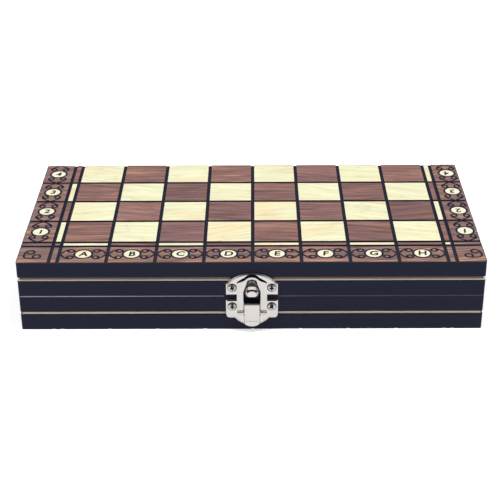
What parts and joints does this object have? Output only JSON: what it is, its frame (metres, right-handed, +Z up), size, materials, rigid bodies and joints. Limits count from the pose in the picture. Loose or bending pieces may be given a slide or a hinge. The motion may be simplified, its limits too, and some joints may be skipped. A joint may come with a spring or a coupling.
{
  "type": "folding games box",
  "caption": "Folding wooden games box: chess board outside, backgammon field inside, hinged along the back and shut by a toggle latch.",
  "frame": {"origin": "middle of the base, on the lower half's board face", "axes": "+X to the right along the fold, +Y from the latch to the hinges, +Z up"},
  "size_m": [0.24, 0.1262, 0.0396],
  "materials": {
    "black_paint": "satin black paint over wood",
    "border_wood": "stained reddish brown, satin varnish",
    "dark_wood": "dark stained veneer, satin varnish",
    "light_wood": "pale veneer, satin varnish",
    "field_wood": "plain wood, satin varnish",
    "red_wood": "red stained veneer, satin varnish",
    "nickel": "bright nickel plate",
    "steel": "bright drawn steel"
  },
  "bodies": {
    "lower": {"lower_board_panel": "black_paint", "lower_front_rail": "black_paint", "lower_back_rail": "black_paint", "lower_left_rail": "black_paint", "lower_right_rail": "black_paint", "lower_front_border": "border_wood", "lower_left_border": "border_wood", "lower_right_border": "border_wood", "lower_light_veneers": "light_wood", "lower_dark_veneers": "dark_wood", "lower_discs": "light_wood", "lower_field_veneer": "field_wood", "lower_dark_points": "dark_wood", "lower_red_points": "red_wood", "left_hinge_lower_leaf": "nickel", "left_hinge_pin": "steel", "right_hinge_lower_leaf": "nickel", "right_hinge_pin": "steel", "lower_hinge_screws": "steel", "base_plate": "nickel", "base_screws": "nickel", "lever_pin": "steel"},
    "upper": {"upper_board_panel": "black_paint", "upper_front_rail": "black_paint", "upper_back_rail": "black_paint", "upper_left_rail": "black_paint", "upper_right_rail": "black_paint", "upper_front_border": "border_wood", "upper_left_border": "border_wood", "upper_right_border": "border_wood", "upper_light_veneers": "light_wood", "upper_dark_veneers": "dark_wood", "upper_discs": "light_wood", "upper_field_veneer": "field_wood", "upper_dark_points": "dark_wood", "upper_red_points": "red_wood", "left_hinge_upper_leaf": "nickel", "right_hinge_upper_leaf": "nickel", "upper_hinge_screws": "steel", "catch_plate": "nickel", "catch_screws": "nickel"},
    "lever": {"lever": "nickel"},
    "yoke": {"yoke": "nickel", "yoke_pin": "steel"}
  },
  "joints": [
    {"name": "lid_hinge", "type": "hinge", "parent": "lower", "child": "upper", "pos_m": [0, 0.0602, 0.0198], "axis": [-1, 0, 0], "range_deg": [0, 180]},
    {"name": "lever_pivot", "type": "hinge", "parent": "lower", "child": "lever", "pos_m": [0.0003, -0.06275, 0.0158], "axis": [-1, 0, 0], "range_deg": [0, 120]},
    {"name": "yoke_pivot", "type": "hinge", "parent": "lever", "child": "yoke", "pos_m": [0.0003, -0.0623, 0.0112], "axis": [1, 0, 0], "range_deg": [0, 156]}
  ],
  "couplings": [
    {"joint": "yoke_pivot", "follows": "lever_pivot", "ratio": 1.3}
  ]
}
